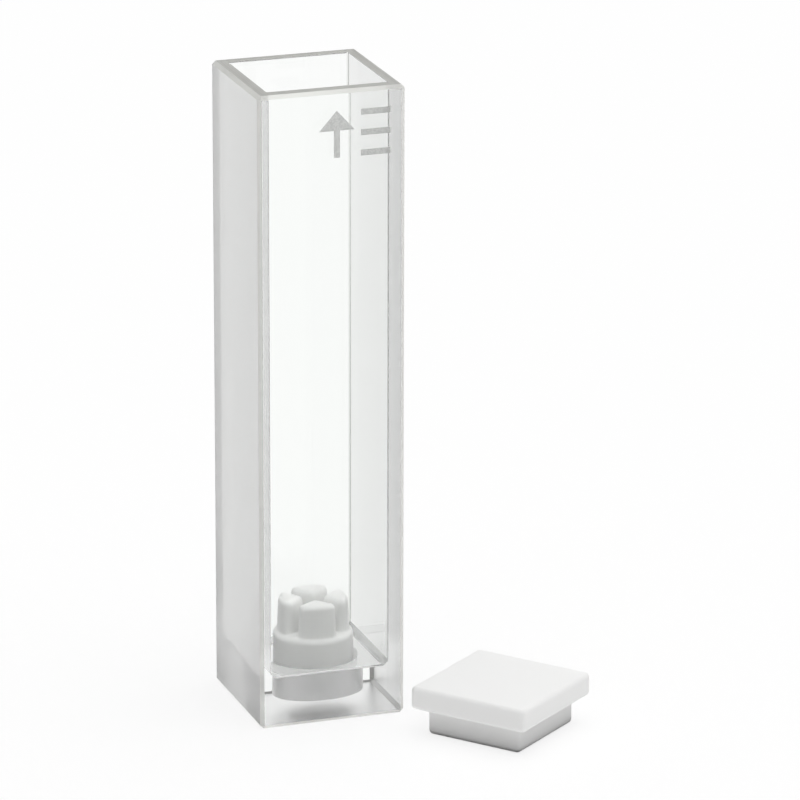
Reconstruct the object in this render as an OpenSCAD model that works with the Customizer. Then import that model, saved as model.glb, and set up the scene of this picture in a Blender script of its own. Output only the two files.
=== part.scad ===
// Square quartz cell with a stirring well in its base, a turbine stirrer
// and a square push-in lid that lies beside it.
// Millimetres, +Z up, origin at the centre of the cell's outer bottom face.

/* [Cell] */
// Outside width across the ground side walls, and outside depth across the windows
cell_w = 12.5; // [12:0.1:14]
// Overall height
cell_h = 54; // [45:0.5:60]
// Light path inside, from window to window
light_path = 10; // [9:0.1:10.5]
// Inside width, between the ground side walls
inside_w = 10.3; // [9:0.1:10.5]
// Ground bevel along the twelve outer edges
edge_bevel = 0.3; // [0.15:0.05:0.5]

/* [Base block] */
// Height of the solid base, up to the chamber floor
base_h = 4; // [3.5:0.1:6]
// Bevel where the chamber walls meet the chamber floor
floor_bevel = 0.5; // [0.2:0.1:0.8]
// Diameter of the ground stirring well
well_d = 7.8; // [7.6:0.1:8.4]
// Height of the well's floor above the outer bottom face
well_floor = 1.35; // [1:0.05:2]

/* [Stirrer] */
// Diameter of the round body that stands in the well
rotor_d = 6.7; // [6.2:0.1:6.9]
// Height of the round body
rotor_h = 4.9; // [4:0.1:6]
// Radius of the round body's top and bottom edges
rotor_edge = 0.45; // [0.3:0.05:0.6]
// Overall height of the stirrer, with its four vanes
stirrer_h = 7.75; // [7:0.05:9]
// Diameter over the vanes
vane_ring_d = 6.1; // [5.2:0.1:6.4]
// Width of a vane at its outer side
vane_w = 3.2; // [2.4:0.1:3.4]
// Radius of the pegs that a vane is blended from
vane_peg_r = 0.62; // [0.5:0.02:0.7]
// Distance from the axis to the inner tip of a vane
vane_tip = 0.75; // [0.4:0.05:1.2]
// Turn of the first vane from the +X axis, in degrees
stirrer_turn = -10; // [-45:1:45]
// How far the stirrer stands off the well's axis, along +X
stirrer_offset = 0.2; // [0:0.05:0.3]

/* [Lid] */
// Side of the square cap
cap_w = 10.9; // [10.8:0.1:12.5]
// Thickness of the cap
cap_t = 2; // [1.8:0.1:3]
// Side of the square plug under the cap
plug_w = 8.8; // [8.6:0.1:9.8]
// Length of the plug below the cap
plug_l = 2.3; // [2:0.1:5]
// Radius of the lid's moulded edges
lid_edge = 0.3; // [0.2:0.05:0.6]
// Where the lid lies beside the cell, along X
lid_x = 12.6; // [12.6:0.1:60]
// Where the lid lies beside the cell, along Y
lid_y = -12.2; // [-60:0.1:-12.2]
// Turn of the lid about the vertical, in degrees
lid_turn = 39; // [0:0.5:90]

/* [Etched mark] */
// Depth of the mark in the front window
mark_depth = 0.05; // [0.02:0.01:0.1]
// Height of the mark
mark_h = 3.9; // [3:0.1:5]
// Distance from the cell's rim down to the mark
mark_drop = 1.7; // [1:0.1:4]
// Centre of the fill arrow, along X
arrow_x = 0.4; // [-2:0.1:1]
// Width of the fill arrow's head
arrow_w = 3; // [2:0.1:3.4]
// Centre of the three level bars, along X
bars_x = 3.7; // [3:0.1:4.2]
// Length of a level bar
bar_l = 2.5; // [2:0.1:3]
// Thickness of the bars and of the arrow's stem
stroke = 0.5; // [0.4:0.05:0.9]

/* [Hidden] */
$fn = 96;
peg_fn = 24;
over = 1; // overlap of a cutter past the face that it opens

vane_h = stirrer_h - rotor_h;
vane_reach = vane_ring_d / 2 - vane_peg_r;
mark_top = cell_h - mark_drop;
bar_gap = (mark_h - 3 * stroke) / 2;

// ---- cell ------------------------------------------------------------

// Rectangle, centred in X, standing on Y = 0, with all four corners bevelled
module bevelled_upright(w, h, b) {
    polygon([[-w / 2 + b, 0], [w / 2 - b, 0], [w / 2, b], [w / 2, h - b],
             [w / 2 - b, h], [-w / 2 + b, h], [-w / 2, h - b], [-w / 2, b]]);
}

// Rectangle, centred in X, with only its two lower corners bevelled
module bevelled_foot(w, h, b) {
    polygon([[-w / 2 + b, 0], [w / 2 - b, 0], [w / 2, b], [w / 2, h],
             [-w / 2, h], [-w / 2, b]]);
}

// Stands the two upright outlines at right angles and keeps what they share
module crossed(w, d) {
    intersection() {
        translate([0, d, 0]) rotate([90, 0, 0]) linear_extrude(2 * d) children(0);
        translate([-w, 0, 0]) rotate([90, 0, 90]) linear_extrude(2 * w) children(1);
    }
}

// The outside of the cell, with every edge ground off
module cell_block() {
    intersection() {
        crossed(cell_w, cell_w) {
            bevelled_upright(cell_w, cell_h, edge_bevel);
            bevelled_upright(cell_w, cell_h, edge_bevel);
        }
        translate([0, -cell_w / 2, 0])
            linear_extrude(cell_h) bevelled_upright(cell_w, cell_w, edge_bevel);
    }
}

// The chamber that holds the sample, open at the top
module chamber() {
    chamber_h = cell_h - base_h + over;
    translate([0, 0, base_h])
        crossed(inside_w, light_path) {
            bevelled_foot(inside_w, chamber_h, floor_bevel);
            bevelled_foot(light_path, chamber_h, floor_bevel);
        }
}

// The round well in the base block, where the stirrer turns
module well() {
    translate([0, 0, well_floor])
        cylinder(d = well_d, h = base_h - well_floor + over);
}

// A fill arrow and three level bars, as cut into the front window
module etched_mark() {
    head_h = arrow_w * 0.55;
    translate([0, -cell_w / 2 + mark_depth, mark_top - mark_h])
        rotate([90, 0, 0]) linear_extrude(mark_depth + over) {
            translate([arrow_x, 0]) {
                polygon([[-arrow_w / 2, mark_h - head_h], [arrow_w / 2, mark_h - head_h],
                         [0, mark_h]]);
                translate([-stroke / 2, 0]) square([stroke, mark_h - head_h + stroke / 2]);
            }
            for (i = [0:2])
                translate([bars_x - bar_l / 2, i * (stroke + bar_gap)])
                    square([bar_l, stroke]);
        }
}

module cell_body() {
    color("gainsboro")
        difference() {
            cell_block();
            chamber();
            well();
            etched_mark();
        }
}

// ---- stirrer ---------------------------------------------------------

// Half section of the round body, with rounded edges
module rotor_section() {
    r = rotor_d / 2;
    square([r - rotor_edge, rotor_h]);
    translate([0, rotor_edge]) square([r, rotor_h - 2 * rotor_edge]);
    for (z = [rotor_edge, rotor_h - rotor_edge])
        translate([r - rotor_edge, z]) circle(r = rotor_edge);
}

// A round-ended peg, a little narrower at its top, that a vane is blended from
module vane_peg(x, y, r) {
    top_r = r * 0.85;
    translate([x, y, 0]) {
        cylinder(r = r, h = over, $fn = peg_fn);
        translate([0, 0, over + vane_h - top_r]) sphere(r = top_r, $fn = peg_fn);
    }
}

// One vane: a blunt wedge, wide outside and narrow near the axis
module vane() {
    spread = vane_w / 2 - vane_peg_r;
    shoulder = sqrt(pow(vane_reach, 2) - pow(spread, 2));
    translate([0, 0, rotor_h - over])
        hull() {
            vane_peg(vane_reach, 0, vane_peg_r);
            vane_peg(shoulder, spread, vane_peg_r);
            vane_peg(shoulder, -spread, vane_peg_r);
            vane_peg(vane_tip + vane_peg_r, 0, vane_peg_r);
        }
}

module stirrer() {
    color("white")
        translate([stirrer_offset, 0, well_floor])
            rotate([0, 0, stirrer_turn]) {
                rotate_extrude() rotor_section();
                for (i = [0:3]) rotate([0, 0, 90 * i]) vane();
            }
}

// ---- lid -------------------------------------------------------------

// Rectangle, centred in X, standing on Y = 0, with round corners
module soft_upright(w, h, r) {
    translate([-w / 2 + r, 0]) square([w - 2 * r, h]);
    translate([-w / 2, r]) square([w, h - 2 * r]);
    for (x = [-w / 2 + r, w / 2 - r], y = [r, h - r])
        translate([x, y]) circle(r = r);
}

// A square slab with every edge rounded, standing on Z = 0
module soft_slab(w, h, r) {
    intersection() {
        crossed(w, w) {
            soft_upright(w, h, r);
            soft_upright(w, h, r);
        }
        translate([0, -w / 2, 0]) linear_extrude(h) soft_upright(w, w, r);
    }
}

// The lid stands on its plug, with the cap uppermost
module lid() {
    color("white")
        translate([lid_x, lid_y, 0])
            rotate([0, 0, lid_turn]) {
                soft_slab(plug_w, plug_l + over, lid_edge);
                translate([0, 0, plug_l]) soft_slab(cap_w, cap_t, lid_edge);
            }
}

cell_body();
stirrer();
lid();
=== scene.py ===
# %% [markdown]
# # A quartz cuvette with its stirrer and lid
#
# A cuvette is a small square glass tube that holds a liquid in a beam of light. This one is
# melted together from fused quartz. Its front and back are clear windows, its two sides are
# ground dull, and a round well in its thick base holds a white stirrer. Its white lid lies
# beside it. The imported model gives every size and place, and this lesson gives the looks.

# %% Load the frame
import math

import bmesh
import bpy
from mathutils import Matrix, Vector


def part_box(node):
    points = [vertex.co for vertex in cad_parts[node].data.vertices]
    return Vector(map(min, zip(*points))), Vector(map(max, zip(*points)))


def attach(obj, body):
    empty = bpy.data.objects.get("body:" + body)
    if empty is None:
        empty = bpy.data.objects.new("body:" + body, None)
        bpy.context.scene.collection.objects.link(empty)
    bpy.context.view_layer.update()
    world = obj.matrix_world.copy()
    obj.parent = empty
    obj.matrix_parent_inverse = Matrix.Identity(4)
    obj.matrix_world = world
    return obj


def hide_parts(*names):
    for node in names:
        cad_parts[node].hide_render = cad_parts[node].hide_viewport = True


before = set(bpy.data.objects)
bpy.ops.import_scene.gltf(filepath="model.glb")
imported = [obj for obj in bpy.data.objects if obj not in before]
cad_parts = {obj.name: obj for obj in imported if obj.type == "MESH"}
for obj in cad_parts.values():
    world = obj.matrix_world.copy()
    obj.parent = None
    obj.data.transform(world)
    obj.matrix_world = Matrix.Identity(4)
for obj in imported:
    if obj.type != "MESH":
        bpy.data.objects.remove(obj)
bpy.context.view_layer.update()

# %% [markdown]
# ## Units
#
# Blender works in metres here, while everything on a cuvette is a few millimetres. So each
# size below is written in millimetres, and MM turns it into metres at the very end. Two sizes
# that differ by less than NEAR count as the same. An edge whose two faces turn by more than
# SHARP, in radians, is a real edge, and one that turns by less than FLAT is no edge at all.
# Two directions are the same where their dot product is more than SAME_WAY.

# %% Units and measured corners
MM = 0.001
NEAR = 0.01
SHARP, FLAT = 0.5, 0.01
SAME_WAY = 0.999
cell_lo, cell_hi = (Vector(corner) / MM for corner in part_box("cell_body"))
stir_lo, stir_hi = (Vector(corner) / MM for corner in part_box("stirrer"))
lid_lo, lid_hi = (Vector(corner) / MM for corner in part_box("lid"))
CELL_H = cell_hi.z
print("cell", round(cell_hi.x - cell_lo.x, 2), "x", round(CELL_H, 2), "mm")

# %% [markdown]
# ## The camera
#
# A studio camera stands well back with a long lens, so that the tall cell keeps its sides
# nearly parallel. The camera is placed by a direction, a height and a distance from a
# point beside the cell, which leaves room for the lid on the right.

# %% Place the camera
CAMERA_AZIMUTH = -19.19
CAMERA_ELEVATION = 17.82
CAMERA_ROLL = 0.134
CAMERA_DISTANCE = 501.1
CAMERA_AIM = Vector((7.04, -2.73, 26.17))
CAMERA_LENS = 273.5

azimuth, elevation = math.radians(CAMERA_AZIMUTH), math.radians(CAMERA_ELEVATION)
towards_camera = Vector((math.sin(azimuth) * math.cos(elevation),
                         -math.cos(azimuth) * math.cos(elevation),
                         math.sin(elevation)))
camera = bpy.data.objects.new("camera", bpy.data.cameras.new("camera"))
bpy.context.scene.collection.objects.link(camera)
aimed = (-towards_camera).to_track_quat("-Z", "Y").to_matrix().to_4x4()
camera.matrix_world = (Matrix.Translation((CAMERA_AIM + towards_camera * CAMERA_DISTANCE) * MM)
                       @ aimed @ Matrix.Rotation(math.radians(CAMERA_ROLL), 4, "Z"))
camera.data.lens = CAMERA_LENS
camera.data.clip_start = 0.01
bpy.context.scene.camera = camera
print("camera at", [round(v, 3) for v in camera.matrix_world.translation])

# %% [markdown]
# ## Material helpers
#
# A colour is written as a hex value, as a paint chart gives it, and turned to the linear
# numbers that Blender's shaders expect. One small function adds a node with its settings.

# %% Colour and node helpers
def linear(hex_colour):
    """sRGB hex such as F2F2F0 to linear RGBA."""
    channels = [int(hex_colour[i:i + 2], 16) / 255 for i in (0, 2, 4)]
    return [c / 12.92 if c <= 0.04045 else ((c + 0.055) / 1.055) ** 2.4 for c in channels] + [1]


def add_node(tree, kind, inputs=None, **settings):
    """Adds a node; inputs maps a socket name or number to a value or to another socket."""
    node = tree.nodes.new(kind)
    for name, value in settings.items():
        setattr(node, name, value)
    for name, value in (inputs or {}).items():
        if isinstance(value, bpy.types.NodeSocket):
            tree.links.new(value, node.inputs[name])
        else:
            node.inputs[name].default_value = value
    return node


def new_material(name, settings):
    """One Principled shader with the given settings; returns material, tree and shader."""
    material = bpy.data.materials.new(name)
    material.use_nodes = True
    tree = material.node_tree
    tree.nodes.clear()
    shader = add_node(tree, "ShaderNodeBsdfPrincipled", settings)
    add_node(tree, "ShaderNodeOutputMaterial", {"Surface": shader.outputs[0]})
    return material, tree, shader


def add_grain(tree, shader, size, height):
    """Fine bumps over a whole piece: size is the width of a grain and height its depth, in mm."""
    place = add_node(tree, "ShaderNodeTexCoord").outputs["Object"]
    noise = add_node(tree, "ShaderNodeTexNoise", {"Vector": place, "Scale": 1 / (size * MM),
                                                  "Detail": 2.0, "Roughness": 0.6})
    bump = add_node(tree, "ShaderNodeBump", {"Height": noise.outputs[0], "Strength": 1.0,
                                             "Distance": height * MM})
    tree.links.new(bump.outputs[0], shader.inputs["Normal"])
    return noise.outputs[0]


print("mid grey is", round(linear("808080")[0], 3), "in linear light")

# %% [markdown]
# ## Polished fused quartz
#
# The windows are fire-clear silica, lapped and polished flat. Fused quartz bends light less
# than window glass, with an IOR of 1.458, and has almost no tint at this thickness.

# %% Polished quartz
QUARTZ_IOR = 1.458
CLEAR, _, _ = new_material("polished_quartz", {
    "Base Color": linear("FDFEFD"), "Roughness": 0.0, "IOR": QUARTZ_IOR,
    "Transmission Weight": 1.0})
print("polished quartz, IOR", QUARTZ_IOR)

# %% [markdown]
# ## Ground quartz
#
# The sides, the rim, the bevels, the well and the bottom are left as the grinding wheel made
# them. Thousands of tiny pits scatter the light, so the same clear quartz looks like frost.
# A fine wheel gives the pale sides, and a coarse one the rim and the bevels. Ground glass can
# look pale from the air and dark through the glass, as the low bevels do, so each finish has
# two colours, mixed by Backfacing, which is 1 where a ray meets the surface from within. The
# colour from within is painted: painted shade on the low bevels, and painted light, a whiter
# colour, on the sides, the top bevels and the rim. Real grit is about 0.03 mm, too fine to
# show, so the grain is drawn a few times coarser. The well and the bottom are honed with the
# finest grit, so their grain hardly shows. The seams are where the walls melted together.

# %% Ground quartz
def ground_quartz(name, outside, inside, roughness, clearness, grain, depth):
    """Quartz that scatters light, with one colour from the air and one through the glass, which is
    painted shade where darker and painted light where whiter.
    """
    material, tree, shader = new_material(name, {
        "Roughness": roughness, "IOR": QUARTZ_IOR, "Transmission Weight": clearness})
    add_grain(tree, shader, grain, depth)
    # The colour through the glass is painted light and shade, not a colour of the quartz.
    within = add_node(tree, "ShaderNodeNewGeometry").outputs["Backfacing"]
    colour = add_node(tree, "ShaderNodeMix",
                      {0: within, 6: linear(outside), 7: linear(inside)}, data_type="RGBA")
    tree.links.new(colour.outputs[2], shader.inputs["Base Color"])
    return material, tree, colour


# From within, EDGE's 565654 is painted shade, and the FFFFFF of FROSTED and BRIGHT_EDGE is painted
# light.
FROSTED, _, _ = ground_quartz("frosted_side", "E7E7E6", "FFFFFF", 0.42, 0.97, 0.12, 0.003)
EDGE, _, _ = ground_quartz("ground_bevel_painted_shade", "F4F4EF", "565654", 0.55, 0.8, 0.15, 0.008)
BRIGHT_EDGE, _, _ = ground_quartz("rim_bevel", "EEEEE8", "FFFFFF", 0.5, 0.8, 0.15, 0.006)
WELL, _, _ = ground_quartz("ground_well", "FFFFFF", "FFFFFF", 0.4, 1.0, 0.35, 0.0008)
SEAM, _, _ = ground_quartz("melted_seam", "E4E5E2", "E4E5E2", 0.12, 1.0, 0.3, 0.002)
print("ground sides, bevels, well and seams")

# %% [markdown]
# ## The lapped rim
#
# The rim is lapped flat on a wheel after the cell is melted together, and it stays the greyest
# face of all. Its streaks run along each wall. Lines of equal distance from the middle, taken
# as the larger of x and y, are squares, so one noise along that distance draws all four sides.

# %% Lapped rim
STREAK_W = 0.18
# From within, the rim's F0F0EE is painted light.
RIM, rim_tree, rim_sides = ground_quartz("lapped_rim", "B8B8B2", "F0F0EE", 0.5, 0.5, 0.15, 0.006)
rim_place = add_node(rim_tree, "ShaderNodeSeparateXYZ", {
    0: add_node(rim_tree, "ShaderNodeTexCoord").outputs["Object"]})
rim_x, rim_y = (add_node(rim_tree, "ShaderNodeMath", {0: rim_place.outputs[axis]},
                         operation="ABSOLUTE").outputs[0] for axis in ("X", "Y"))
from_centre = add_node(rim_tree, "ShaderNodeMath", {0: rim_x, 1: rim_y}, operation="MAXIMUM")
streaks = add_node(rim_tree, "ShaderNodeTexNoise",
                   {"W": from_centre.outputs[0], "Scale": 1 / (STREAK_W * MM), "Detail": 2.0},
                   noise_dimensions="1D")
streak_range = add_node(rim_tree, "ShaderNodeMapRange", {"Value": streaks.outputs[0],
                                                         "From Min": 0.3, "From Max": 0.7})
streak_colour = add_node(rim_tree, "ShaderNodeMix",
                         {0: streak_range.outputs[0], 6: linear("A0A09B"), 7: linear("C6C6C0")},
                         data_type="RGBA")
rim_tree.links.new(streak_colour.outputs[2], rim_sides.inputs[6])
print("streaks", STREAK_W, "mm apart")

# %% [markdown]
# ## The etched mark's finish
#
# Sand blown through a stencil leaves a whiter, rougher frost than grinding does. Seen against
# a white room it looks grey, with a speckle where the sand bit deeper.

# %% Etched quartz
ETCHED, etched_tree, etched_shader = new_material("etched_quartz", {
    "Roughness": 0.7, "IOR": QUARTZ_IOR, "Transmission Weight": 0.6})
speckle = add_grain(etched_tree, etched_shader, 0.14, 0.01)
speckle_range = add_node(etched_tree, "ShaderNodeMapRange", {"Value": speckle, "From Min": 0.35,
                                                             "From Max": 0.65})
speckle_colour = add_node(etched_tree, "ShaderNodeMix",
                          {0: speckle_range.outputs[0], 6: linear("B4B5B3"), 7: linear("D2D3D1")},
                          data_type="RGBA")
etched_tree.links.new(speckle_colour.outputs[2], etched_shader.inputs["Base Color"])
print("etched quartz")

# %% [markdown]
# ## PTFE
#
# The stirrer and the lid are PTFE, a white waxy plastic. It is pressed and sintered, so its
# skin is satin, and a little light soaks in and comes out again nearby.

# %% PTFE
def moulded_ptfe(name, hex_colour, soak, depth):
    """White satin plastic; soak is the share of light that spreads inside, over depth in mm."""
    material, tree, shader = new_material(name, {
        "Base Color": linear(hex_colour), "Roughness": 0.45, "IOR": 1.35,
        "Subsurface Weight": soak, "Subsurface Radius": (1.0, 1.0, 1.0),
        "Subsurface Scale": depth * MM})
    add_grain(tree, shader, 0.25, 0.004)
    return material


STIRRER_WHITE = moulded_ptfe("stirrer_ptfe", "F6F6F5", 0.3, 0.5)
LID_WHITE = moulded_ptfe("lid_ptfe", "F6F6F5", 0.3, 0.5)
print("PTFE for the stirrer and the lid")

# %% [markdown]
# ## Mesh helpers
#
# Pieces are drawn in millimetres with bmesh and scaled to metres once, as they are finished.

# %% Mesh helpers
def finish_piece(name, bm, materials):
    """Turns a bmesh drawn in millimetres into an object at the origin, in metres."""
    bmesh.ops.scale(bm, vec=(MM, MM, MM), verts=bm.verts)
    mesh = bpy.data.meshes.new(name)
    bm.to_mesh(mesh)
    bm.free()
    for material in materials:
        mesh.materials.append(material)
    piece = bpy.data.objects.new(name, mesh)
    bpy.context.scene.collection.objects.link(piece)
    print(name, len(mesh.polygons), "faces")
    return piece


def add_block(bm, lo, hi):
    """A box between two corners."""
    lo, hi = Vector(lo), Vector(hi)
    verts = bmesh.ops.create_cube(bm, size=1)["verts"]
    bmesh.ops.scale(bm, vec=hi - lo, verts=verts)
    bmesh.ops.translate(bm, vec=(lo + hi) / 2, verts=verts)


def largest_face(bm, direction):
    """The largest face that looks along direction."""
    facing = [f for f in bm.faces if f.normal.dot(Vector(direction)) > SAME_WAY]
    return max(facing, key=lambda f: f.calc_area())


def fit_face(face, half_x, half_y, z):
    """Moves the corners of a level face to the given half sizes and height."""
    for vert in face.verts:
        vert.co = Vector((math.copysign(half_x, vert.co.x), math.copysign(half_y, vert.co.y), z))


def push_face(bm, face, half_x, half_y, z):
    """Extrudes a level face and fits its new end; returns the new face."""
    face = bmesh.ops.extrude_discrete_faces(bm, faces=[face])["faces"][0]
    fit_face(face, half_x, half_y, z)
    return face


# %% [markdown]
# ## The cell
#
# The cell starts as a block with every edge ground off, most finely along the bottom's back
# edge. Its top is inset to leave the rim, and the inset face is pushed down to make the
# chamber, then pulled in for the slope round the floor. The slope is wide along the two ground
# sides and fine along the windows. The inner corners, where the plates were melted together,
# get a tiny round seam. CORNER_R holds its radius on the left, at -1, and on the right, at 1.

# %% Shape the block and the chamber
LIGHT_PATH = 10.0
INSIDE_W = 10.3
EDGE_BEVEL = 0.3
FOOT_BEVEL = 0.15
FLOOR_Z = 4.0
FLOOR_BEVEL = 0.5
END_BEVEL = 0.15
CORNER_R = {-1: 0.04, 1: 0.14}
SEAM_W = 0.08
FINISHES = [CLEAR, FROSTED, EDGE, BRIGHT_EDGE, RIM, WELL, SEAM, ETCHED]


def shape_block(bm):
    """The outside, with every edge bevelled and the bottom's back edge bevelled more finely."""
    add_block(bm, cell_lo, cell_hi)
    bmesh.ops.bevel(bm, geom=bm.edges[:], offset=EDGE_BEVEL, segments=1, profile=0.5,
                    affect="EDGES", material=-1)
    finer = EDGE_BEVEL - FOOT_BEVEL
    for vert in bm.verts:
        if vert.co.y > 0 and vert.co.z < CELL_H / 2 and abs(vert.co.x) < cell_hi.x - NEAR:
            vert.co += Vector((0, finer, 0) if vert.co.z < NEAR else (0, 0, -finer))


def shape_chamber(bm):
    """The chamber, pushed down from the top face in three steps."""
    half_x, half_y = INSIDE_W / 2, LIGHT_PATH / 2
    bmesh.ops.inset_individual(bm, faces=[largest_face(bm, (0, 0, 1))],
                               thickness=cell_hi.x - half_x, use_even_offset=True)
    mouth = largest_face(bm, (0, 0, 1))
    fit_face(mouth, half_x, half_y, CELL_H)
    shoulder = push_face(bm, mouth, half_x, half_y, FLOOR_Z + FLOOR_BEVEL)
    step = push_face(bm, shoulder, half_x - FLOOR_BEVEL + END_BEVEL, half_y, FLOOR_Z + END_BEVEL)
    push_face(bm, step, half_x - FLOOR_BEVEL, half_y - END_BEVEL, FLOOR_Z)


def melt_corners(bm):
    """Rounds the chamber's inner corners a little and gives them the seam's finish."""
    def inside(vert):
        return abs(vert.co.x) < INSIDE_W / 2 + NEAR and abs(vert.co.y) < LIGHT_PATH / 2 + NEAR

    def round_off(edges, radius, segments):
        made = bmesh.ops.bevel(bm, geom=edges, offset=radius, segments=segments, profile=0.5,
                               affect="EDGES", material=-1)
        for face in made["faces"]:
            face.material_index = FINISHES.index(SEAM)

    inner = [e for e in bm.edges if inside(e.verts[0]) and inside(e.verts[1])]
    upright = [e for e in inner if abs(e.verts[0].co.z - e.verts[1].co.z) > CELL_H / 2]
    flat = [e for e in inner if e.calc_face_angle() < FLAT]
    bmesh.ops.dissolve_edges(bm, edges=flat, use_verts=False)
    for side, radius in CORNER_R.items():
        round_off([e for e in upright if e.is_valid and e.verts[0].co.x * side > 0], radius,
                  segments=4)
    along_floor = [e for e in bm.edges if inside(e.verts[0]) and inside(e.verts[1])
                   and e.calc_length() > LIGHT_PATH / 2 and e.calc_face_angle() > SHARP
                   and max(e.verts[0].co.z, e.verts[1].co.z) < CELL_H / 2]
    round_off(along_floor, SEAM_W, segments=2)


cell_bm = bmesh.new()
shape_block(cell_bm)
shape_chamber(cell_bm)
melt_corners(cell_bm)
print("block and chamber", len(cell_bm.faces), "faces")

# %% [markdown]
# ## The well and the etched mark
#
# Both are outlines cut into a flat face and sunk. The outline is drawn as loose edges in the
# face, the face is filled again around it, and the outline is pushed in and closed. The well is
# a circle in the chamber's floor. The mark is a fill arrow and three level bars, etched a
# twentieth of a millimetre into the front window near the rim.

# %% Cut outlines into a face and sink them
WELL_R = 3.9
WELL_FLOOR_Z = 1.35
WELL_SIDES = 160
MARK_DEPTH = 0.05
MARK_H = 3.9
MARK_DROP = 1.7
MARK_TOP = CELL_H - MARK_DROP
ARROW_X, ARROW_W, HEAD_SHARE = 0.4, 3.0, 0.55
BARS_X, BAR_L, BARS = 3.7, 2.5, 3
STROKE = 0.5


def sink_outlines(bm, face, loops, vec):
    """Cuts closed loops of edges out of a face and pushes them in by vec."""
    normal = face.normal.copy()
    edges = list(face.edges) + [edge for loop in loops for edge in loop]
    bmesh.ops.delete(bm, geom=[face], context="FACES_ONLY")
    bmesh.ops.triangle_fill(bm, use_beauty=True, use_dissolve=False, edges=edges, normal=normal)
    for loop in loops:
        new = bmesh.ops.extrude_edge_only(bm, edges=loop)["geom"]
        verts = [g for g in new if isinstance(g, bmesh.types.BMVert)]
        bmesh.ops.translate(bm, vec=vec, verts=verts)
        end = [g for g in new if isinstance(g, bmesh.types.BMEdge)
               and all(v in verts for v in g.verts)]
        bmesh.ops.contextual_create(bm, geom=end)


def mark_outlines():
    """Closed outlines of the mark as lists of (x, z)."""
    base = MARK_TOP - MARK_H
    neck = MARK_TOP - HEAD_SHARE * ARROW_W
    half, stem = ARROW_W / 2, STROKE / 2
    arrow = [(-stem, base), (stem, base), (stem, neck), (half, neck), (0, MARK_TOP),
             (-half, neck), (-stem, neck)]
    outlines = [[(ARROW_X + x, z) for x, z in arrow]]
    left, right = BARS_X - BAR_L / 2, BARS_X + BAR_L / 2
    for i in range(BARS):
        low = base + i * (MARK_H - STROKE) / (BARS - 1)
        outlines.append([(left, low), (right, low), (right, low + STROKE), (left, low + STROKE)])
    return outlines


circle = bmesh.ops.create_circle(cell_bm, cap_ends=False, segments=WELL_SIDES, radius=WELL_R,
                                 matrix=Matrix.Translation((0, 0, FLOOR_Z)))["verts"]
rim_of_well = list({edge for vert in circle for edge in vert.link_edges})
chamber_floor = max((f for f in cell_bm.faces if abs(f.calc_center_median().z - FLOOR_Z) < NEAR),
                    key=lambda f: f.calc_area())
sink_outlines(cell_bm, chamber_floor, [rim_of_well], (0, 0, WELL_FLOOR_Z - FLOOR_Z))

mark_loops = []
for outline in mark_outlines():
    verts = [cell_bm.verts.new((x, cell_lo.y, z)) for x, z in outline]
    mark_loops.append([cell_bm.edges.new(pair) for pair in zip(verts, verts[1:] + verts[:1])])
sink_outlines(cell_bm, largest_face(cell_bm, (0, -1, 0)), mark_loops, (0, MARK_DEPTH, 0))
bmesh.ops.recalc_face_normals(cell_bm, faces=cell_bm.faces)
open_edges = [e for e in cell_bm.edges if len(e.link_faces) != 2]
print("cell volume", round(cell_bm.calc_volume(), 1), "mm3, open edges", len(open_edges))

# %% [markdown]
# ## Which face has which finish
#
# Faces are sorted by where their centres lie. Flat faces stay flat-shaded, so that the windows
# bend light exactly as flat glass does. Only the well's wall and the melted seams are shaded
# round.

# %% Sort the faces and make the cell
def finish_of(face):
    """The finish of one face of the cell."""
    centre = face.calc_center_median()
    if face.material_index == FINISHES.index(SEAM):
        return SEAM
    if Vector(centre.xy).length < WELL_R + NEAR and NEAR < centre.z < FLOOR_Z - NEAR:
        return WELL
    between_bevels = abs(centre.x) < cell_hi.x - EDGE_BEVEL
    if between_bevels and NEAR < centre.y - cell_lo.y < MARK_DEPTH + NEAR:
        return ETCHED
    if centre.z > CELL_H - NEAR:
        return RIM
    if abs(centre.x) > cell_hi.x - NEAR:
        return FROSTED
    if abs(centre.y) > cell_hi.y - NEAR:
        return CLEAR
    if centre.z < NEAR:
        return WELL
    # The top bevels take BRIGHT_EDGE, painted light from within, and the other bevels EDGE, painted
    # shade from within.
    if centre.z > CELL_H - EDGE_BEVEL:
        return BRIGHT_EDGE
    at_edge = max(abs(centre.x), abs(centre.y)) > cell_hi.x - EDGE_BEVEL
    return EDGE if at_edge or centre.z < EDGE_BEVEL else CLEAR


for cell_face in cell_bm.faces:
    finish = finish_of(cell_face)
    cell_face.material_index = FINISHES.index(finish)
    upright = abs(cell_face.normal.z) < NEAR
    cell_face.smooth = finish == SEAM or (finish == WELL and upright)
cell = finish_piece("quartz_cell", cell_bm, FINISHES)

# %% [markdown]
# ## The stirrer
#
# The stirrer is one piece of PTFE: a round body and four blunt vanes. The body is a half
# outline spun round its axis. Each vane is the hull of a ring of round pegs and one more near
# the axis, with smaller balls on top that lean out a little. A Remesh modifier melts them into
# one skin, and a Smooth modifier gives the soft corners of a moulding.

# %% Shape the stirrer
ROTOR_R = 3.35
ROTOR_H = 4.9
ROTOR_EDGE = 0.45
VANE_RING_R = 3.05
VANE_W = 3.2
VANE_TIP = 0.75
PEG_R = 0.62
TOP_R = 0.42
TOP_SPREAD = 1.1
STIR_TURN = -10
STIR_H = stir_hi.z - stir_lo.z
STIR_FOOT = Vector(((stir_lo.x + stir_hi.x) / 2, (stir_lo.y + stir_hi.y) / 2, stir_lo.z))
ROTOR_SIDES = 96
PEG_SIDES = 32
PEGS_EACH_SIDE = 3
SKIN_STEP = 0.08
SOFTENING = 4


def corner_arc(cx, cz, r, start, steps=8):
    """A quarter circle of points (radius, height) from the start angle, in degrees."""
    angles = [math.radians(start + 90 * i / steps) for i in range(steps + 1)]
    return [(cx + r * math.cos(a), cz + r * math.sin(a)) for a in angles]


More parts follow.
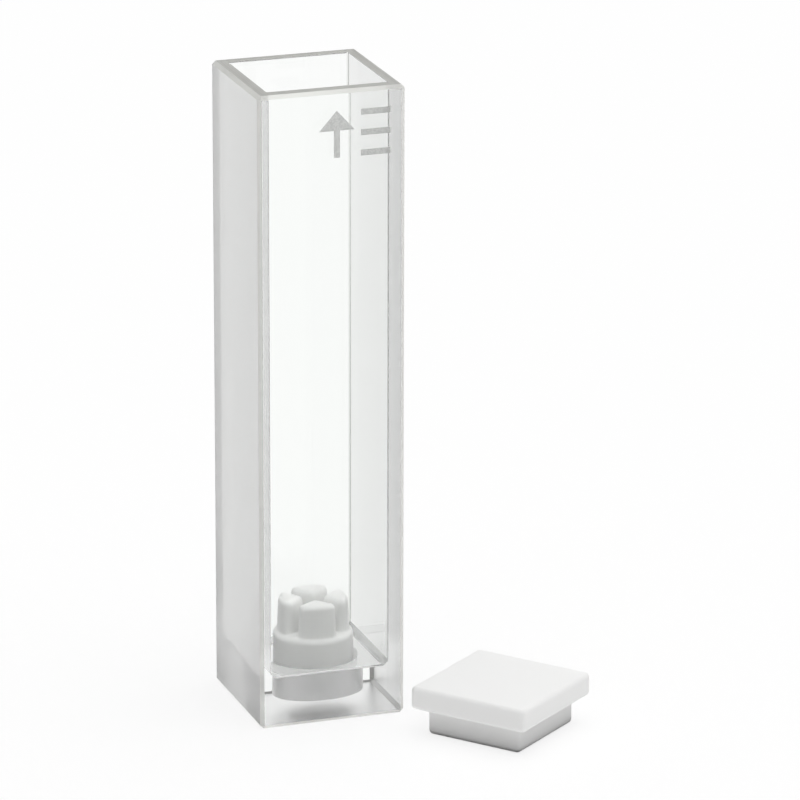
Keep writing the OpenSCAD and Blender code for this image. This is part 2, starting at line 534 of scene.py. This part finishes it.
def add_rotor(bm):
    """Half the outline of the round body, spun about the axis."""
    inner = ROTOR_R - ROTOR_EDGE
    outline = ([(0, 0)] + corner_arc(inner, ROTOR_EDGE, ROTOR_EDGE, -90)
               + corner_arc(inner, ROTOR_H - ROTOR_EDGE, ROTOR_EDGE, 0) + [(0, ROTOR_H)])
    verts = [bm.verts.new((r, 0, z)) for r, z in outline]
    edges = [bm.edges.new(pair) for pair in zip(verts, verts[1:])]
    bmesh.ops.spin(bm, geom=verts + edges, cent=(0, 0, 0), axis=(0, 0, 1), angle=math.tau,
                   steps=ROTOR_SIDES, use_merge=True, use_duplicate=False)
    bmesh.ops.remove_doubles(bm, verts=bm.verts, dist=NEAR * NEAR)


def add_vane(bm, turn):
    """Round pegs with smaller tops, joined by their hull and turned about the axis."""
    spread = VANE_W / 2 - PEG_R
    reach = VANE_RING_R - PEG_R
    side = math.asin(spread / reach)
    turned = Matrix.Rotation(math.radians(turn), 4, "Z")
    middle = (reach + VANE_TIP + PEG_R) / 2
    pegs = []
    along_arc = [side * i / PEGS_EACH_SIDE for i in range(-PEGS_EACH_SIDE, PEGS_EACH_SIDE + 1)]
    places = [(reach * math.cos(a), reach * math.sin(a)) for a in along_arc]
    places.append((VANE_TIP + PEG_R, 0))
    for x, y in places:
        top = (middle + (x - middle) * TOP_SPREAD, y * TOP_SPREAD, STIR_H - TOP_R)
        for r, centre in ((PEG_R, (x, y, ROTOR_H - PEG_R)), (TOP_R, top)):
            pegs += bmesh.ops.create_uvsphere(
                bm, u_segments=PEG_SIDES, v_segments=PEG_SIDES // 2, radius=r,
                matrix=turned @ Matrix.Translation(centre))["verts"]
    hull = bmesh.ops.convex_hull(bm, input=pegs)
    spare = {g for g in hull["geom_interior"] + hull["geom_unused"]
             if isinstance(g, bmesh.types.BMVert)}
    bmesh.ops.delete(bm, geom=list(spare), context="VERTS")


stir_bm = bmesh.new()
add_rotor(stir_bm)
for quarter in range(4):
    add_vane(stir_bm, STIR_TURN + 90 * quarter)
bmesh.ops.translate(stir_bm, vec=STIR_FOOT, verts=stir_bm.verts)
bmesh.ops.recalc_face_normals(stir_bm, faces=stir_bm.faces)
stirrer = finish_piece("ptfe_stirrer", stir_bm, [STIRRER_WHITE])

skin = stirrer.modifiers.new("one_skin", "REMESH")
skin.mode = "VOXEL"
skin.voxel_size = SKIN_STEP * MM
skin.use_smooth_shade = True
soften = stirrer.modifiers.new("soften", "SMOOTH")
soften.factor = 0.5
soften.iterations = SOFTENING
print("stirrer height", round(STIR_H, 2), "mm")

# %% [markdown]
# ## The lid
#
# The lid is a square cap on a smaller square plug, moulded in one piece, so all its outer
# edges are soft. The cap is a block. Its underside is inset and pushed down to make the plug.
# One bevel rounds the upright edges and a finer one the rest. Only an edge that turns by more
# than CREASE stays sharp, which is where the plug meets the cap. Weighted normals keep the
# broad faces flat.

# %% Shape the lid
CAP_W = 10.9
PLUG_W, PLUG_L = 8.8, 2.3
LID_CORNER = 0.45
LID_EDGE = 0.4
LID_TURN = 39
LID_ARC_STEPS = 6
CREASE = math.radians(40)
LID_CENTRE = (lid_lo + lid_hi) / 2

lid_bm = bmesh.new()
add_block(lid_bm, (-CAP_W / 2, -CAP_W / 2, PLUG_L), (CAP_W / 2, CAP_W / 2, lid_hi.z))
bmesh.ops.inset_individual(lid_bm, faces=[largest_face(lid_bm, (0, 0, -1))],
                           thickness=(CAP_W - PLUG_W) / 2, use_even_offset=True)
push_face(lid_bm, largest_face(lid_bm, (0, 0, -1)), PLUG_W / 2, PLUG_W / 2, 0)
bmesh.ops.recalc_face_normals(lid_bm, faces=lid_bm.faces)
for radius, upright in ((LID_CORNER, True), (LID_EDGE, False)):
    outer_edges = [e for e in lid_bm.edges if e.is_convex and e.calc_face_angle() > SHARP
                   and (abs(e.verts[0].co.z - e.verts[1].co.z) > LID_CORNER) == upright]
    bmesh.ops.bevel(lid_bm, geom=outer_edges, offset=radius, segments=LID_ARC_STEPS,
                    profile=0.5, affect="EDGES", material=-1)
bmesh.ops.rotate(lid_bm, cent=(0, 0, 0), verts=lid_bm.verts,
                 matrix=Matrix.Rotation(math.radians(LID_TURN), 3, "Z"))
bmesh.ops.translate(lid_bm, vec=(LID_CENTRE.x, LID_CENTRE.y, 0), verts=lid_bm.verts)
for lid_face in lid_bm.faces:
    lid_face.smooth = True
print("lid edges rounded", len(outer_edges))
lid = finish_piece("ptfe_lid", lid_bm, [LID_WHITE])
lid.data.set_sharp_from_angle(angle=CREASE)
flatten = lid.modifiers.new("flat_faces", "WEIGHTED_NORMAL")
flatten.keep_sharp = True

# %% [markdown]
# ## The stage
#
# The cell stands on a white sweep with no horizon. Two things are asked of the light. Where a
# ray shows the backdrop, straight, mirrored or through the glass, the backdrop is plain white,
# and it greys a little once the ray has bounced about inside the glass for long, as edges of
# glass do in a real room. Where a ray lights the white plastic, it comes from a softbox
# overhead, which leans a little to the right, and from the lit table all round. The stirrer
# stands deep in glass, where the softbox looks wider and the table darker, so rays that have
# been through glass get a sky and a floor of their own.

# %% Tell the rays apart
SHADOW_SHARE = 0.2
TABLE_LIGHT = 1.1
FLOOR_GLOW = 0.1
OPEN_SKY = (0.05, 2.85)
GLASS_SKY = (0.05, 3.15)
FADE_FROM, FADE_TO, FADED = 5, 13, 0.2


def ray_kinds(tree):
    """Sockets: 1 where the backdrop is seen, 1 where a ray passed glass, the fade of long paths."""
    path = add_node(tree, "ShaderNodeLightPath")
    through = path.outputs["Is Transmission Ray"]
    straight = add_node(tree, "ShaderNodeMath", {0: path.outputs["Is Camera Ray"],
                                                 1: path.outputs["Is Glossy Ray"]},
                        operation="MAXIMUM")
    shown = add_node(tree, "ShaderNodeMath", {0: straight.outputs[0], 1: through},
                     operation="MAXIMUM")
    fresh = add_node(tree, "ShaderNodeMath", {0: path.outputs["Diffuse Depth"], 1: 0.5},
                     operation="LESS_THAN")
    seen = add_node(tree, "ShaderNodeMath", {0: shown.outputs[0], 1: fresh.outputs[0]},
                    operation="MULTIPLY")
    fade = add_node(tree, "ShaderNodeMapRange", {"Value": path.outputs["Ray Depth"],
                                                 "From Min": FADE_FROM, "From Max": FADE_TO,
                                                 "To Min": 1.0, "To Max": FADED})
    return seen.outputs[0], through, fade.outputs[0]


print("shadow share", SHADOW_SHARE)

# %% [markdown]
# ## Painted shade: a dark mat under the pieces
#
# Small white things on a lit white table lose their lower edges, because the table lights them
# from below. So in a studio they stand on dark card, and the card is painted white later.
# Here the sweep is dark in a square round the cell and the lid, but only for the rays that
# light them, so the mat is painted shade that the camera never sees. It shades the lid's plug
# towards its foot, and darkens the floor's light under the cell.

# %% Measure how far a point lies from the pieces
SHADE_PATCH_REACH = 4.7
SHADE_PATCH_FADE = 1.8


def off_painted_shade(tree):
    """A socket that is 0 on the painted shade close to the cell or the lid and 1 on the open sweep.
    """
    place = add_node(tree, "ShaderNodeTexCoord").outputs["Object"]
    spots = []
    for x, y, turn in ((0, 0, 0), (LID_CENTRE.x, LID_CENTRE.y, LID_TURN)):
        from_piece = add_node(tree, "ShaderNodeMapping", {
            "Vector": place, "Location": (x * MM, y * MM, 0),
            "Rotation": (0, 0, math.radians(turn))}, vector_type="TEXTURE").outputs[0]
        sizes = add_node(tree, "ShaderNodeVectorMath", {0: from_piece}, operation="ABSOLUTE")
        sides = add_node(tree, "ShaderNodeSeparateXYZ", {0: sizes.outputs[0]})
        away = add_node(tree, "ShaderNodeMath", {0: sides.outputs["X"], 1: sides.outputs["Y"]},
                        operation="MAXIMUM")
        spots.append(add_node(tree, "ShaderNodeMapRange", {
            "Value": away.outputs[0], "From Min": SHADE_PATCH_REACH * MM,
            "From Max": (SHADE_PATCH_REACH + SHADE_PATCH_FADE) * MM}).outputs[0])
    return add_node(tree, "ShaderNodeMath", {0: spots[0], 1: spots[1]},
                    operation="MULTIPLY").outputs[0]


print("mat reaches", SHADE_PATCH_REACH + SHADE_PATCH_FADE, "mm")

# %% [markdown]
# ## The floor
#
# The sweep is one large square, a hair under the pieces so that their bottoms don't flicker
# against it. It glows white where it is seen, with a faint real shadow mixed in so that the
# pieces stand on something. Where it only lights the pieces, it glows as a lit table does:
# TABLE_LIGHT is its strength in the open and FLOOR_GLOW its strength through glass.

# %% Lay the floor
FLOOR_HALF = 4000
FLOOR_DROP = 0.01
floor_bm = bmesh.new()
bmesh.ops.create_grid(floor_bm, x_segments=1, y_segments=1, size=FLOOR_HALF,
                      matrix=Matrix.Translation((0, 0, -FLOOR_DROP)))
floor_material = bpy.data.materials.new("white_sweep")
floor_material.use_nodes = True
paper = floor_material.node_tree
paper.nodes.clear()
seen, through, fade = ray_kinds(paper)
# The floor's light is dark in the painted shade square round each piece.
unshaded_floor = off_painted_shade(paper)
dim = add_node(paper, "ShaderNodeMath", {0: unshaded_floor, 1: FLOOR_GLOW}, operation="MULTIPLY")
glow = add_node(paper, "ShaderNodeMix", {0: seen, 2: dim.outputs[0], 3: fade})
lit = add_node(paper, "ShaderNodeEmission", {"Strength": glow.outputs[0]})
white = add_node(paper, "ShaderNodeBsdfDiffuse", {"Color": (1, 1, 1, 1)})
lift = add_node(paper, "ShaderNodeMath", {0: unshaded_floor, 1: TABLE_LIGHT}, operation="MULTIPLY")
bounce = add_node(paper, "ShaderNodeEmission", {"Strength": lift.outputs[0]})
shadow = add_node(paper, "ShaderNodeMath", {0: seen, 1: SHADOW_SHARE}, operation="MULTIPLY")
backdrop = add_node(paper, "ShaderNodeMixShader",
                    {0: shadow.outputs[0], 1: lit.outputs[0], 2: white.outputs[0]})
shown = add_node(paper, "ShaderNodeMath", {0: seen, 1: through}, operation="MAXIMUM")
surface = add_node(paper, "ShaderNodeMixShader",
                   {0: shown.outputs[0], 1: bounce.outputs[0], 2: backdrop.outputs[0]})
add_node(paper, "ShaderNodeOutputMaterial", {"Surface": surface.outputs[0]})
floor = finish_piece("floor", floor_bm, [floor_material])

# %% [markdown]
# ## The sky
#
# The softbox is no lamp but a brighter patch of sky. How far a direction agrees with the way
# the softbox leans, raised to a power, gives a soft round patch, and a higher power makes a
# smaller one. Light that has passed through glass is spread wider, so its power is left at 1.

# %% Hang the sky
SOFTBOX_LEAN = Vector((0.1, -0.05, 0.99))
SOFTBOX_FOCUS = 4
world = bpy.data.worlds.new("studio")
bpy.context.scene.world = world
world.use_nodes = True
sky = world.node_tree
sky.nodes.clear()
direction = add_node(sky, "ShaderNodeTexCoord").outputs["Generated"]
up = add_node(sky, "ShaderNodeVectorMath", {0: direction, 1: SOFTBOX_LEAN},
              operation="DOT_PRODUCT").outputs["Value"]
above = add_node(sky, "ShaderNodeMath", {0: up, 1: 0.0}, operation="MAXIMUM").outputs[0]
focused = add_node(sky, "ShaderNodeMath", {0: above, 1: SOFTBOX_FOCUS}, operation="POWER")
open_sky, glass_sky = (add_node(sky, "ShaderNodeMapRange",
                                {"Value": value, "To Min": low, "To Max": high}).outputs[0]
                       for value, (low, high) in ((focused.outputs[0], OPEN_SKY),
                                                  (above, GLASS_SKY)))
seen, through, fade = ray_kinds(sky)
lighting = add_node(sky, "ShaderNodeMix", {0: through, 2: open_sky, 3: glass_sky})
level = add_node(sky, "ShaderNodeMix", {0: seen, 2: lighting.outputs[0], 3: fade})
background = add_node(sky, "ShaderNodeBackground", {"Strength": level.outputs[0]})
background.inputs["Color"].default_value = (1, 1, 1, 1)
add_node(sky, "ShaderNodeOutputWorld", {"Surface": background.outputs[0]})
print("sky from", OPEN_SKY, "open and", GLASS_SKY, "through glass")

# %% [markdown]
# ## Long light paths
#
# A ray may cross the thick base of a glass cell a dozen times before it leaves. Blender stops
# a ray after a few crossings and then paints black, so the limits are raised.

# %% Raise the limits
MOST_CROSSINGS = 32
for limit in ("max_bounces", "glossy_bounces", "transmission_bounces"):
    setattr(bpy.context.scene.cycles, limit, MOST_CROSSINGS)
bpy.context.scene.view_settings.view_transform = "Standard"
print("a ray may cross", MOST_CROSSINGS, "surfaces")

# %% [markdown]
# ## Tie the pieces to the frame
#
# Nothing here moves on its own, so all three pieces ride on the one body. Each stands for the
# plain solid of the same part.

# %% Ride and replace
for piece, node, slot_name in ((cell, "cell_body", "quartz"),
                               (stirrer, "stirrer", "stirrer_ptfe"),
                               (lid, "lid", "lid_ptfe")):
    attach(piece, "root")
    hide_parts(node)
    print(piece.name, "stands for", node)
